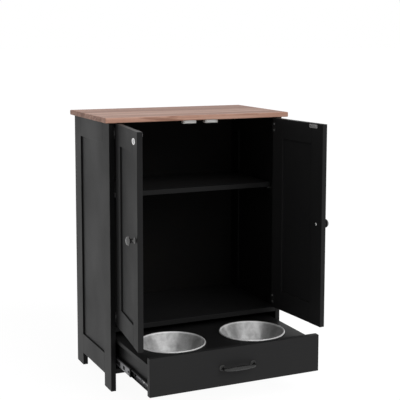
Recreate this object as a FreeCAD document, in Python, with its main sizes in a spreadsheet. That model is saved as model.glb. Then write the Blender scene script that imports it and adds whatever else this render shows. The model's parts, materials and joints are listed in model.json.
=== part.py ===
import FreeCAD, Part
import math
import os
import re

import Sketcher

# A raised feeding station for a dog: a walnut-topped storage case with two framed doors above a drawer
# that holds two steel bowls. Millimetres, +X to the right, +Y to the back, +Z up, floor at z = 0.
# The doors stand open and the drawer is drawn out. Lengths along Y are first measured from the plane of
# the case's front edges, and case_front puts that plane where the open feeder is centred on the origin.

SIZES = {
    # case
    "overall_tall": 808,
    "top_deep": 341,
    "board_thick": 15,
    "case_wide": 560,
    "side_overhang": 15,
    "front_overhang": 15,
    "top_round": 2.5,
    "edge_round": 1.2,
    "leg_wide": 60,
    "rail_tall": 62,
    "arch_tall": 40,
    "infill_thick": 6,
    "groove_deep": 8,
    "fit_gap": 0.2,
    "base_up": 54,
    "deck_up": 180,
    "back_thick": 5,
    "glide_tall": 2,
    # shelf and its pins
    "shelf_up": 570,
    "shelf_setback": 40,
    "shelf_gap": 1,
    "shelf_pin_radius": 2.5,
    "shelf_pin_long": 16,
    "shelf_pin_inset": 6,
    # knock-down fittings
    "cam_radius": 7.5,
    "cam_thick": 12,
    "cam_inset": 24,
    "bolt_radius": 3,
    "bolt_in_leg": 9,
    # doors
    "door_gap": 2,
    "door_rise": 4,
    "meeting_gap": 6,
    "door_thick": 15,
    "stile_wide": 55,
    "door_rail_tall": 60,
    "left_door_angle": 97.2,
    "right_door_angle": 94.7,
    "knob_up": 499,
    "knob_radius": 12.5,
    "knob_reach": 26,
    "knob_foot_radius": 8,
    "knob_neck_radius": 5.5,
    "knob_round": 3,
    "knob_edge_round": 1.5,
    "knob_foot_thick": 1.5,
    "knob_neck_share": 0.3,
    "knob_stem_share": 0.45,
    "knob_brim_share": 0.66,
    "knob_rim_share": 0.78,
    "knob_bore_share": 0.6,
    "knob_face_share": 0.6,
    "knob_thread_long": 13,
    "knob_screw_radius": 2,
    "knob_screw_head_radius": 4.5,
    "knob_screw_head_thick": 1.6,
    "screw_edge_share": 0.9,
    "screw_face_share": 0.5,
    "badge_wide": 30,
    "badge_tall": 18,
    "badge_thick": 1.5,
    "badge_inset": 36,
    "badge_from_top": 28,
    # magnetic catches and the plates that they hold
    "catch_wide": 42,
    "catch_deep": 14,
    "catch_tall": 12,
    "catch_round": 1,
    "catch_gap": 0.4,
    "strike_wide": 40,
    "strike_tall": 12,
    "strike_thick": 1.2,
    "strike_round": 4,
    "strike_from_top": 2,
    "strike_edge_gap": 2,
    "left_catch_out": 21.5,
    "right_catch_out": 49,
    # butt hinges
    "hinge_end_gap": 28,
    "hinge_tall": 30,
    "leaf_deep": 12,
    "leaf_wrap": 16,
    "leaf_thick": 0.9,
    "knuckle_radius": 2.2,
    "knuckle_ahead": 2.4,
    "knuckle_gap": 0.2,
    "hinge_pin_radius": 1,
    "pin_gap": 0.08,
    # drawer
    "drawer_out": 266,
    "drawer_gap": 1.5,
    "drawer_front_thick": 18,
    "drawer_side_thick": 12,
    "drawer_side_up": 81,
    "drawer_long": 296,
    "bowl_board_up": 146,
    "bowl_board_thick": 12,
    "bowl_board_gap": 2.5,
    # three-part ball slides
    "slide_thick": 12.7,
    "slide_tall": 27,
    "slide_long": 290,
    "slide_up": 78,
    "slide_steel": 1.2,
    "slide_clear": 0.3,
    "slide_setback": 19,
    "slide_lip": 8.5,
    # bowls
    "bowl_tall": 58,
    "bowl_width_share": 0.387,
    "bowl_side_space": 11,
    "bowl_flare": 18,
    "bowl_wall": 1.2,
    "bowl_round": 16,
    "rim_overhang": 3.5,
    "rim_thick": 2.5,
    "bowl_seat_gap": 0.3,
    "bowl_hole_gap": 1.3,
    # bow handle
    "handle_reach": 30,
    "handle_spacing": 96,
    "handle_up": 124,
    "handle_foot_radius": 8,
    "handle_foot_thick": 3,
    "handle_bar_radius": 4.5,
    "handle_arm_long": 12,
    "handle_belly": 6.5,
    "handle_belly_flat": 20,
    "handle_tuck_share": 0.9,
    "handle_thread_long": 9,
    "handle_screw_radius": 2,
    "handle_screw_head_radius": 4.5,
    "handle_screw_head_thick": 2,
    # how far a cutter passes the face that it opens
    "overrun": 1,
}

WORKED_OUT = {
    "top_wide": "case_wide + 2 * side_overhang",
    "case_deep": "top_deep - front_overhang",
    "board_deep": "case_deep - back_thick",
    "case_front": "(drawer_out + handle_reach - case_deep) / 2",
    "side_in": "case_wide / 2 - board_thick",
    "top_under": "overall_tall - board_thick",
    "leg_tall": "top_under - glide_tall",
    "side_rail_long": "case_deep - 2 * leg_wide",
    "infill_low": "arch_tall + rail_tall - groove_deep",
    "infill_tall": "top_under - rail_tall + groove_deep - infill_low",
    "groove_wide": "infill_thick + 2 * fit_gap",
    "deck_top": "deck_up + board_thick",
    "door_low": "deck_top + door_rise",
    "door_tall": "top_under - door_gap - door_low",
    "door_wide": "side_in - door_gap - meeting_gap / 2",
    "door_rail_long": "door_wide - 2 * stile_wide",
    "door_edge": "side_in - door_gap",
    "hinge_x": "side_in - door_gap / 2",
    "knuckle_tall": "hinge_tall / 3",
    "knob_along": "door_wide - stile_wide / 2",
    "lower_hinge": "door_low + hinge_end_gap",
    "upper_hinge": "door_low + door_tall - hinge_end_gap",
    "catch_front": "door_thick + strike_thick + catch_gap",
    "drawer_low": "base_up + board_thick + drawer_gap",
    "drawer_tall": "deck_up - drawer_gap - drawer_low",
    "drawer_wide": "2 * (side_in - drawer_gap)",
    "drawer_box_half": "side_in - slide_thick",
    "bowl_board_top": "bowl_board_up + bowl_board_thick",
    "drawer_inner_half": "drawer_box_half - drawer_side_thick",
    "bowl_top_radius": "drawer_inner_half * bowl_width_share",
    "bowl_foot_radius": "bowl_top_radius - bowl_flare",
    "rim_radius": "bowl_top_radius + rim_overhang",
    "bowl_apart": "2 * (drawer_inner_half - bowl_side_space - rim_radius - rim_thick)",
    "bowl_back": "drawer_front_thick + drawer_long / 2",
    "rim_up": "bowl_board_top + bowl_seat_gap + rim_thick",
    "bowl_hole_radius": "bowl_top_radius + bowl_hole_gap",
    "slide_middle": "slide_up + slide_tall / 2",
    "handle_bend": "handle_reach - handle_belly - handle_arm_long",
    "handle_straight_half": "handle_spacing / 2 - handle_bend",
}

doc = FreeCAD.newDocument("feeder")
sheet = doc.addObject("Spreadsheet::Sheet", "Dims")
row = 0
for name, size in SIZES.items():
    row += 1
    sheet.set(f"A{row}", name)
    sheet.set(f"B{row}", str(size))
    sheet.setAlias(f"B{row}", name)
for name, formula in WORKED_OUT.items():
    row += 1
    sheet.set(f"A{row}", name)
    sheet.set(f"B{row}", "=" + formula)
    sheet.setAlias(f"B{row}", name)
doc.recompute()

NAMES = set(SIZES) | set(WORKED_OUT)
NEAR = 1e-5
nodes = []


def bound(text):
    """Turn an expression in plain size names into one that reads the sheet."""
    def with_sheet(word):
        return "Dims." + word.group() if word.group() in NAMES else word.group()
    return re.sub(r"[a-z][a-z_]+", with_sheet, text)


def value(text):
    return float(sheet.evalExpression(bound(text)))


def bind(piece, **properties):
    for name, text in properties.items():
        piece.setExpression(name, bound(text))
    return piece


def place(piece, x="0", y="0", z="0"):
    """Put a local origin at x, y, z, without moving it to the case's own front plane."""
    for axis, text in zip("xyz", (x, y, z)):
        piece.setExpression(".Placement.Base." + axis, bound(text))
    return piece


def seat(piece, x="0", y="0", z="0"):
    """Put a piece's local origin at x and z, and at y behind the case's front plane."""
    return place(piece, x, "case_front + " + y, z)


def keep(piece, label):
    """Give a finished piece its node's name and list it."""
    piece.Label = label
    nodes.append(piece)
    return piece


def sketch_on(body, role, corners, offset="0"):
    """Draw a closed outline of straight lines, each corner held at its own coordinates."""
    sketch = body.newObject("Sketcher::SketchObject", body.Name + "_outline")
    plane = next(feature for feature in body.Origin.OriginFeatures if feature.Role == role)
    sketch.AttachmentSupport = [(plane, "")]
    sketch.MapMode = "FlatFace"
    sketch.setExpression(".AttachmentOffset.Base.z", bound(offset))
    points = [FreeCAD.Vector(value(across), value(up), 0) for across, up in corners]
    order = list(range(len(points)))
    for index, following in zip(order, order[1:] + order[:1]):
        sketch.addGeometry(Part.LineSegment(points[index], points[following]), False)
    for index, following in zip(order, order[1:] + order[:1]):
        sketch.addConstraint(Sketcher.Constraint("Coincident", index, 2, following, 1))
    for index, (corner, point) in enumerate(zip(corners, points)):
        for kind, axis_line, text, size in (
            ("DistanceX", -2, corner[0], point.x),
            ("DistanceY", -1, corner[1], point.y),
        ):
            if text == "0":
                sketch.addConstraint(Sketcher.Constraint("PointOnObject", index, 1, axis_line))
            else:
                number = sketch.addConstraint(Sketcher.Constraint(kind, -1, 1, index, 1, size))
                sketch.setExpression(f"Constraints[{number}]", bound(text))
    return sketch


def extrude(name, role, corners, length, offset="0"):
    """Pad an outline from its plane towards +Z, +Y or +X."""
    body = doc.addObject("PartDesign::Body", name)
    pad = body.newObject("PartDesign::Pad", name + "_pad")
    pad.Profile = sketch_on(body, role, corners, offset)
    bind(pad, Length=length)
    pad.Reversed = role == "XZ_Plane"
    body.Tip = pad
    doc.recompute()
    return body


def turn(name, corners):
    """Revolve an outline of radius and height about the local Z axis."""
    body = doc.addObject("PartDesign::Body", name)
    sketch = sketch_on(body, "XZ_Plane", corners)
    solid = body.newObject("PartDesign::Revolution", name + "_turned")
    solid.Profile = sketch
    solid.ReferenceAxis = (sketch, ["V_Axis"])
    solid.Angle = 360
    body.Tip = solid
    doc.recompute()
    return body


def soften(body, radius, wanted):
    """Round the edges of a body that the test picks out."""
    base = body.Tip
    edges = [f"Edge{index}" for index, edge in enumerate(base.Shape.Edges, start=1) if wanted(edge)]
    fillet = body.newObject("PartDesign::Fillet", body.Name + "_round")
    fillet.Base = (base, edges)
    bind(fillet, Radius=radius)
    body.Tip = fillet
    doc.recompute()
    return body


def every_edge(edge):
    return True


def ring_at(radius, height):
    """Test for a circular edge of this radius at this height on the local Z axis."""
    def wanted(edge):
        curve = edge.Curve
        if curve.TypeId != "Part::GeomCircle":
            return False
        return (
            abs(curve.Radius - value(radius)) < NEAR
            and abs(curve.Center.z - value(height)) < NEAR
        )
    return wanted


def rectangle(wide, deep, left="0", near="0"):
    right = f"{left} + {wide}"
    far = f"{near} + {deep}"
    return [(left, near), (right, near), (right, far), (left, far)]


def long_edges(direction):
    """Test for straight edges along one axis that stand at the piece's outer corners."""
    def wanted(edge):
        line = edge.Curve
        return line.TypeId == "Part::GeomLine" and line.Direction.cross(direction).Length < NEAR
    return wanted


UP = FreeCAD.Vector(0, 0, 1)
ACROSS = FreeCAD.Vector(1, 0, 0)
BACK = FreeCAD.Vector(0, 1, 0)


def board(name, wide, deep, tall, radius="edge_round"):
    """A flat board with every edge eased."""
    return soften(extrude(name, "XY_Plane", rectangle(wide, deep), tall), radius, every_edge)


def box(name, x, y, z, wide, deep, tall):
    piece = doc.addObject("Part::Box", name)
    bind(piece, Length=wide, Width=deep, Height=tall)
    return place(piece, x, y, z)


def rod(name, x, y, z, radius, length, along=UP):
    """A cylinder that starts at a point and runs along an axis, or against it."""
    piece = doc.addObject("Part::Cylinder", name)
    bind(piece, Radius=radius, Height=length)
    piece.Placement = FreeCAD.Placement(FreeCAD.Vector(), FreeCAD.Rotation(UP, along))
    return place(piece, x, y, z)


def cut(name, base, *tools):
    piece = doc.addObject("Part::Cut", name)
    piece.Base = base
    piece.Tool = tools[0] if len(tools) == 1 else group(name + "_cutters", *tools)
    doc.recompute()
    return piece


def fuse(name, *pieces):
    piece = doc.addObject("Part::MultiFuse", name)
    piece.Shapes = list(pieces)
    doc.recompute()
    return piece


def group(name, *pieces):
    piece = doc.addObject("Part::Compound", name)
    piece.Links = list(pieces)
    doc.recompute()
    return piece


def mirror(name, source, normal=ACROSS, middle="0"):
    """The same piece on the other side: across the centre plane, or front to back."""
    piece = doc.addObject("Part::Mirroring", name)
    piece.Source = source
    piece.Normal = normal
    if normal == BACK:
        piece.setExpression(".Base.y", bound(middle))
    doc.recompute()
    return piece


def both_sides(source, label):
    """List a left piece and its mirror image."""
    keep(source, "left_" + label)
    keep(mirror("right_" + label, source), "right_" + label)


def hang(piece, side, up="0"):
    """Hang a door piece, drawn shut with the door's front hinge corner at the origin, on an open door."""
    place(piece, "door_gap / 2", "knuckle_ahead", up)
    if side == "left":
        door = seat(group("left_" + piece.Name, piece), "-hinge_x", "-knuckle_ahead")
        turned = "-left_door_angle"
    else:
        other = mirror("other_" + piece.Name, piece)
        door = seat(group("right_" + piece.Name, other), "hinge_x", "-knuckle_ahead")
        turned = "right_door_angle"
    door.setExpression(".Placement.Rotation.Angle", bound(turned))
    return door


def both_doors(piece, label, up="0"):
    """Hang a door piece on the left door, and its mirror image on the right one, and list the two."""
    for side in ("left", "right"):
        keep(hang(piece, side, up), f"{side}_{label}")


def top():
    piece = board("top_blank", "top_wide", "top_deep", "board_thick", "top_round")
    seat(piece, "-top_wide / 2", "-front_overhang", "top_under")
    bores = [
        rod(f"top_bore_{index}", f"{across} * (side_in + board_thick / 2)",
            f"case_front + {back}", "top_under - overrun", "bolt_radius + fit_gap",
            "bolt_in_leg + overrun")
        for index, (across, back) in enumerate(leg_places())
    ]
    keep(cut("top_board", piece, *bores), "top_board")


def leg_places():
    """The four legs' middles: which side, and how far behind the front."""
    rows = ("leg_wide / 2", "(case_deep - leg_wide / 2)")
    return [(across, back) for across in ("-1", "1") for back in rows]


def side_frames():
    """Legs, rails and infill panels of the two framed sides."""
    blank = extrude("leg_blank", "XY_Plane", rectangle("board_thick", "leg_wide"), "leg_tall")
    soften(blank, "edge_round", long_edges(UP))
    seat(blank, "-case_wide / 2", "0", "glide_tall")
    groove = box(
        "leg_groove", "-case_wide / 2 + (board_thick - groove_wide) / 2",
        "case_front + leg_wide - groove_deep", "infill_low - fit_gap",
        "groove_wide", "groove_deep + overrun", "infill_tall + 2 * fit_gap")
    middle = "case_front + leg_wide / 2"
    inner = "-side_in - bolt_in_leg"
    bores = [
        rod(f"leg_bore_{height}", inner, middle, f"{height} + board_thick / 2",
            "bolt_radius + fit_gap", "bolt_in_leg + overrun", ACROSS)
        for height in ("base_up", "deck_up")
    ]
    pin_bore = rod(
        "leg_pin_bore", "-side_in - shelf_pin_long / 2", "case_front + shelf_setback + shelf_pin_inset",
        "shelf_up - shelf_pin_radius", "shelf_pin_radius", "shelf_pin_long / 2 + overrun", ACROSS)
    cam_bore = rod(
        "leg_cam_bore", "-side_in - cam_thick", middle, "top_under - cam_inset",
        "cam_radius + fit_gap", "cam_thick + overrun", ACROSS)
    bolt_bore = rod(
        "leg_bolt_bore", "-side_in - board_thick / 2", middle, "top_under - cam_inset",
        "bolt_radius + fit_gap", "cam_inset + overrun")
    front_leg = cut("left_front_leg", blank, groove, *bores, pin_bore, cam_bore, bolt_bore)
    back_leg = mirror("left_back_leg", front_leg, BACK, "case_front + case_deep / 2")
    both_sides(front_leg, "front_leg")
    both_sides(back_leg, "back_leg")
    both_sides(side_rail("bottom_rail", "arch_tall", "infill_low - fit_gap"), "bottom_rail")
    both_sides(side_rail("top_rail", "top_under - rail_tall", "top_under - rail_tall - overrun"), "top_rail")
    panel = extrude(
        "left_side_panel", "XY_Plane",
        rectangle("infill_thick", "side_rail_long + 2 * (groove_deep - fit_gap)"), "infill_tall")
    seat(panel, "-case_wide / 2 + (board_thick - infill_thick) / 2",
         "leg_wide - groove_deep + fit_gap", "infill_low")
    both_sides(panel, "side_panel")


def side_rail(name, low, groove_low):
    """A rail between two legs, grooved along the edge that faces the infill panel."""
    blank = extrude(name + "_blank", "XY_Plane", rectangle("board_thick", "side_rail_long"), "rail_tall")
    soften(blank, "edge_round", long_edges(BACK))
    seat(blank, "-case_wide / 2", "leg_wide", low)
    groove = box(
        name + "_groove", "-case_wide / 2 + (board_thick - groove_wide) / 2",
        "case_front + leg_wide - overrun", groove_low,
        "groove_wide", "side_rail_long + 2 * overrun", "groove_deep + fit_gap + overrun")
    return cut("left_" + name, blank, groove)


def tied_board(label, low):
    """A board between the sides, drawn to each leg by a cam lock and a bolt."""
    blank = board(label + "_blank", "2 * side_in", "board_deep", "board_thick")
    seat(blank, "-side_in", "0", low)
    cutters = []
    for index, (across, back) in enumerate(leg_places()):
        cutters.append(rod(
            f"{label}_cam_bore_{index}", f"{across} * (side_in - cam_inset)", f"case_front + {back}",
            f"{low} - overrun", "cam_radius + fit_gap", "cam_thick + overrun"))
        direction = ACROSS if across == "1" else -ACROSS
        cutters.append(rod(
            f"{label}_bolt_bore_{index}", f"{across} * (side_in - cam_inset)", f"case_front + {back}",
            f"{low} + board_thick / 2", "bolt_radius + fit_gap", "cam_inset + overrun", direction))
    keep(cut(label, blank, *cutters), label)


def shelf():
    piece = board(
        "shelf", "2 * (side_in - shelf_gap)", "board_deep - shelf_setback", "board_thick")
    keep(seat(piece, "-side_in + shelf_gap", "shelf_setback", "shelf_up"), "shelf")
    pin = rod(
        "left_front_pin", "-side_in - shelf_pin_long / 2", "case_front + shelf_setback + shelf_pin_inset",
        "shelf_up - shelf_pin_radius", "shelf_pin_radius - fit_gap / 2", "shelf_pin_long", ACROSS)
    pair = group("left_shelf_pins", pin, mirror("left_back_pin", pin, BACK, "case_front + case_deep / 2"))
    keep(group("shelf_pins", pair, mirror("right_shelf_pins", pair)), "shelf_pins")


def back_panel():
    piece = board("back_panel", "2 * side_in", "back_thick", "top_under - base_up")
    keep(seat(piece, "-side_in", "board_deep", "base_up"), "back_panel")


def knock_down_fittings():
    """Cam locks in the boards and legs, and the bolts that they draw tight."""
    cams = []
    bolts = []
    for index, (across, back) in enumerate(leg_places()):
        middle = f"case_front + {back}"
        outward = ACROSS if across == "1" else -ACROSS
        for low in ("base_up", "deck_up"):
            cams.append(rod(
                f"cam_{low}_{index}", f"{across} * (side_in - cam_inset)", middle, low,
                "cam_radius", "cam_thick"))
            bolts.append(rod(
                f"bolt_{low}_{index}", f"{across} * (side_in - cam_inset + cam_radius)", middle,
                f"{low} + board_thick / 2", "bolt_radius", "cam_inset - cam_radius + bolt_in_leg", outward))
        cams.append(rod(
            f"cam_top_{index}", f"{across} * side_in", middle, "top_under - cam_inset",
            "cam_radius", "cam_thick", outward))
        bolts.append(rod(
            f"bolt_top_{index}", f"{across} * (side_in + board_thick / 2)", middle,
            "top_under - cam_inset + cam_radius", "bolt_radius", "cam_inset - cam_radius + bolt_in_leg"))
    keep(group("cam_locks", *cams), "cam_locks")
    keep(group("cam_bolts", *bolts), "cam_bolts")


def foot_glides():
    glides = [
        rod(f"glide_{index}", f"{across} * (side_in + board_thick / 2)", f"case_front + {back}", "0",
            "board_thick / 2 - edge_round", "glide_tall")
        for index, (across, back) in enumerate(leg_places())
    ]
    keep(group("foot_glides", *glides), "foot_glides")


def door_stile(name, near, groove_near, *bores):
    """An upright of a door, grooved for the infill."""
    blank = extrude(name + "_blank", "XY_Plane", rectangle("stile_wide", "door_thick", near), "door_tall")
    soften(blank, "edge_round", long_edges(UP))
    groove = box(
        name + "_groove", groove_near, "(door_thick - groove_wide) / 2",
        "door_rail_tall - groove_deep - fit_gap",
        "groove_deep + overrun", "groove_wide", "door_tall - 2 * (door_rail_tall - groove_deep - fit_gap)")
    return cut("shut_" + name, blank, groove, *bores)


def door_rail(name, groove_low):
    """A cross rail of a door, grooved along the edge that faces the infill."""
    blank = extrude(
        name + "_blank", "XY_Plane",
        rectangle("door_rail_long", "door_thick", "stile_wide"), "door_rail_tall")
    soften(blank, "edge_round", long_edges(ACROSS))
    groove = box(
        name + "_groove", "stile_wide - overrun", "(door_thick - groove_wide) / 2", groove_low,
        "door_rail_long + 2 * overrun", "groove_wide", "groove_deep + fit_gap + overrun")
    return cut("shut_" + name, blank, groove)


def doors():
    knob_bore = rod(
        "knob_bore", "knob_along", "-overrun", "knob_up - door_low", "knob_screw_radius + fit_gap",
        "door_thick + 2 * overrun", BACK)
    both_doors(door_stile("hinge_stile", "0", "stile_wide - groove_deep"), "hinge_stile", "door_low")
    lock_near = "door_wide - stile_wide"
    lock_stile = door_stile("lock_stile", lock_near, lock_near + " - overrun", knob_bore)
    both_doors(lock_stile, "lock_stile", "door_low")
    both_doors(door_rail("top_rail", "-overrun"), "door_top_rail", "door_low + door_tall - door_rail_tall")
    bottom_rail = door_rail("bottom_rail", "door_rail_tall - groove_deep - fit_gap")
    both_doors(bottom_rail, "door_bottom_rail", "door_low")
    panel = extrude(
        "shut_panel", "XY_Plane",
        rectangle("door_rail_long + 2 * (groove_deep - fit_gap)", "infill_thick",
                  "stile_wide - groove_deep + fit_gap", "(door_thick - infill_thick) / 2"),
        "door_tall - 2 * (door_rail_tall - groove_deep)")
    both_doors(panel, "door_panel", "door_low + door_rail_tall - groove_deep")
    both_doors(knob(), "knob")
    both_doors(knob_screw(), "knob_screw")
    near_strike = strike("near_strike", "door_wide - strike_edge_gap - strike_wide / 2")
    keep(hang(near_strike, "left"), "left_strike_plate")
    far_strike = strike("far_strike", "door_edge - right_catch_out")
    keep(hang(far_strike, "right"), "right_strike_plate")
    keep(hang(badge(), "left"), "badge_plate")


def laid(name, piece, along, back, up, direction):
    """Stand a turned piece on a door or drawer face: its local Z points along a direction."""
    holder = doc.addObject("Part::Compound", name)
    holder.Links = [piece]
    piece.Placement = FreeCAD.Placement(FreeCAD.Vector(), FreeCAD.Rotation(UP, direction))
    place(piece, along, back, up)
    doc.recompute()
    return holder


def knob():
    """A mushroom knob, turned, with its neck bored for the screw."""
    body = turn("knob_blank", [
        ("knob_screw_radius", "0"),
        ("knob_foot_radius", "0"),
        ("knob_foot_radius", "knob_foot_thick"),
        ("knob_neck_radius", "knob_reach * knob_neck_share"),
        ("knob_neck_radius", "knob_reach * knob_stem_share"),
        ("knob_radius", "knob_reach * knob_brim_share"),
        ("knob_radius", "knob_reach * knob_rim_share"),
        ("knob_radius * knob_face_share", "knob_reach"),
        ("0", "knob_reach"),
        ("0", "knob_reach * knob_bore_share"),
        ("knob_screw_radius", "knob_reach * knob_bore_share"),
    ])
    soften(body, "knob_edge_round", ring_at("knob_radius", "knob_reach * knob_brim_share"))
    soften(body, "knob_round", ring_at("knob_radius", "knob_reach * knob_rim_share"))
    soften(body, "knob_round", ring_at("knob_radius * knob_face_share", "knob_reach"))
    return laid("shut_knob", body, "knob_along", "0", "knob_up", -BACK)


def knob_screw():
    """A round-headed screw that comes through the door from the inside."""
    body = turn("knob_screw_blank", [
        ("0", "0"),
        ("knob_screw_head_radius", "0"),
        ("knob_screw_head_radius * screw_edge_share", "-knob_screw_head_thick / 2"),
        ("knob_screw_head_radius * screw_face_share", "-knob_screw_head_thick"),
        ("0", "-knob_screw_head_thick"),
    ])
    shank = rod(
        "knob_screw_shank", "knob_along", "door_thick", "knob_up", "knob_screw_radius",
        "door_thick + knob_thread_long", -BACK)
    head = laid("knob_screw_head", body, "knob_along", "door_thick", "knob_up", -BACK)
    return fuse("shut_knob_screw", head, shank)


def strike(name, along):
    """The steel plate on a door's inner face that the catch holds."""
    body = extrude(
        name, "XZ_Plane",
        rectangle("strike_wide", "strike_tall", f"{along} - strike_wide / 2",
                  "door_low + door_tall - strike_from_top - strike_tall"),
        "strike_thick", "-door_thick")
    return soften(body, "strike_round", long_edges(BACK))


def badge():
    """A plain oval plate near the top of the left door's outer face."""
    disc = doc.addObject("Part::Ellipse", "badge_outline")
    bind(disc, MajorRadius="badge_wide / 2", MinorRadius="badge_tall / 2")
    disc.Placement = FreeCAD.Placement(FreeCAD.Vector(), FreeCAD.Rotation(ACROSS, 90))
    place(disc, "door_wide - badge_inset", "0", "door_low + door_tall - badge_from_top")
    plate = doc.addObject("Part::Extrusion", "shut_badge")
    plate.Base = disc
    plate.DirMode = "Custom"
    plate.Dir = -BACK
    plate.Solid = True
    bind(plate, LengthFwd="badge_thick")
    doc.recompute()
    return plate


def catches():
    """The two magnetic catches under the top, each facing its plate on a door."""
    left = board("left_catch", "catch_wide", "catch_deep", "catch_tall", "catch_round")
    seat(left, "-left_catch_out - catch_wide / 2", "catch_front", "top_under - catch_tall")
    right = board("right_catch", "catch_wide", "catch_deep", "catch_tall", "catch_round")
    seat(right, "right_catch_out - catch_wide / 2", "catch_front", "top_under - catch_tall")
    keep(group("magnetic_catches", left, right), "magnetic_catches")


def hinge_leaf(name, up, axis_x, axis_y, flat_near, flat_deep, bore_radius, thirds):
    """A leaf of a butt hinge: a flat, and a knuckle round the pin in each named third of its height."""
    low = f"{up} - hinge_tall / 2"
    flat = box(
        name + "_flat", f"{axis_x} + {flat_near}", f"{axis_y} + knuckle_radius + knuckle_gap", low,
        "leaf_thick", flat_deep, "hinge_tall")
    pieces = [flat]
    for third in thirds:
        start = f"{low} + {third} * knuckle_tall + knuckle_gap / 2"
        pieces.append(box(
            f"{name}_tab_{third}", f"{axis_x} + {flat_near}", axis_y, start,
            "leaf_thick", "knuckle_radius + knuckle_gap + leaf_thick", "knuckle_tall - knuckle_gap"))
        pieces.append(rod(
            f"{name}_knuckle_{third}", axis_x, axis_y, start,
            "knuckle_radius", "knuckle_tall - knuckle_gap"))
    bore = rod(
        name + "_bore", axis_x, axis_y, f"{low} - overrun", bore_radius, "hinge_tall + 2 * overrun")
    return cut(name, fuse(name + "_whole", *pieces), bore)


def hinges():
    """Two hinges on each door: a flat leaf on the case, one that wraps round the door's back, a pin."""
    case_leaves = []
    door_leaves = []
    pins = []
    for place_name in ("lower", "upper"):
        up = place_name + "_hinge"
        case_leaves.append(hinge_leaf(
            place_name + "_case_leaf", up, "-hinge_x", "case_front - knuckle_ahead", "-door_gap / 2",
            "leaf_deep", "hinge_pin_radius", (0, 2)))
        edge_leaf = hinge_leaf(
            place_name + "_edge_leaf", up, "-door_gap / 2", "-knuckle_ahead", "door_gap / 2 - leaf_thick",
            "door_thick + leaf_thick", "hinge_pin_radius + pin_gap", (1,))
        wrap = box(
            place_name + "_wrap", "-leaf_thick", "door_thick", f"{up} - hinge_tall / 2",
            "leaf_thick + leaf_wrap", "leaf_thick", "hinge_tall")
        door_leaves.append(fuse(place_name + "_door_leaf", edge_leaf, wrap))
        pins.append(rod(
            place_name + "_pin", "-hinge_x", "case_front - knuckle_ahead", f"{up} - hinge_tall / 2",
            "hinge_pin_radius", "hinge_tall"))
    for label, pair in (("hinge_leaves", case_leaves), ("hinge_pins", pins)):
        near = group("left_" + label, *pair)
        keep(group(label, near, mirror("right_" + label, near)), label)
    both_doors(group("door_leaves", *door_leaves), "door_hinge_leaves")


def channel(web, lip, tall, steel, opening):
    """Outline of a C-shaped strip across X and Z, centred on z = 0, with its web at x = web."""
    half = f"({tall}) / 2"
    inside = f"({tall}) / 2 - {steel}"
    tip = f"{web} {opening} {lip}"
    floor = f"{web} {opening} {steel}"
    return [
        (web, f"-{half}"), (tip, f"-{half}"), (tip, f"-({inside})"), (floor, f"-({inside})"),
        (floor, inside), (tip, inside), (tip, half), (web, half),
    ]


def slides():
    """The three nested steel strips of each drawer slide."""
    step = "(slide_steel + slide_clear)"
    fixed = extrude(
        "left_slide_rail", "XZ_Plane",
        channel("-side_in", "slide_lip", "slide_tall", "slide_steel", "+"), "slide_long")
    both_sides(seat(fixed, "0", "slide_setback", "slide_middle"), "slide_rail")
    middle = extrude(
        "left_slide_middle", "XZ_Plane",
        channel(f"-side_in + {step}", "slide_lip", f"slide_tall - 2 * {step}", "slide_steel", "+"),
        "slide_long")
    both_sides(seat(middle, "0", "slide_setback - drawer_out / 2", "slide_middle"), "slide_middle")
    moving = extrude(
        "left_slide_runner", "XZ_Plane",
        channel("-drawer_box_half", "slide_lip", f"slide_tall - 4 * {step}", "slide_steel", "-"),
        "slide_long")
    both_sides(seat(moving, "0", "slide_setback - drawer_out", "slide_middle"), "slide_runner")


def drawer():
    front = board("drawer_front_blank", "drawer_wide", "drawer_front_thick", "drawer_tall")
    seat(front, "-drawer_wide / 2", "-drawer_out", "drawer_low")
    bores = [
        rod(f"handle_bore_{index}", f"{across} * handle_spacing / 2", "case_front - drawer_out - overrun",
            "handle_up", "handle_screw_radius + fit_gap", "drawer_front_thick + 2 * overrun", BACK)
        for index, across in enumerate(("-1", "1"))
    ]
    keep(cut("drawer_front", front, *bores), "drawer_front")
    behind = "drawer_front_thick - drawer_out"
    side_tall = "bowl_board_up - drawer_side_up"
    side = board("left_drawer_side", "drawer_side_thick", "drawer_long", side_tall)
    both_sides(seat(side, "-drawer_box_half", behind, "drawer_side_up"), "drawer_side")
    back = board("drawer_back", "2 * drawer_inner_half", "drawer_side_thick", side_tall)
    keep(seat(back, "-drawer_inner_half", f"{behind} + drawer_long - drawer_side_thick",
              "drawer_side_up"), "drawer_back")
    blank = board("bowl_board_blank", "2 * (side_in - bowl_board_gap)", "drawer_long", "bowl_board_thick")
    seat(blank, "-side_in + bowl_board_gap", behind, "bowl_board_up")
    holes = [
        rod(f"bowl_hole_{index}", f"{across} * bowl_apart / 2", "case_front + bowl_back - drawer_out",
            "bowl_board_up - overrun", "bowl_hole_radius", "bowl_board_thick + 2 * overrun")
        for index, across in enumerate(("-1", "1"))
    ]
    keep(cut("bowl_board", blank, *holes), "bowl_board")


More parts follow.
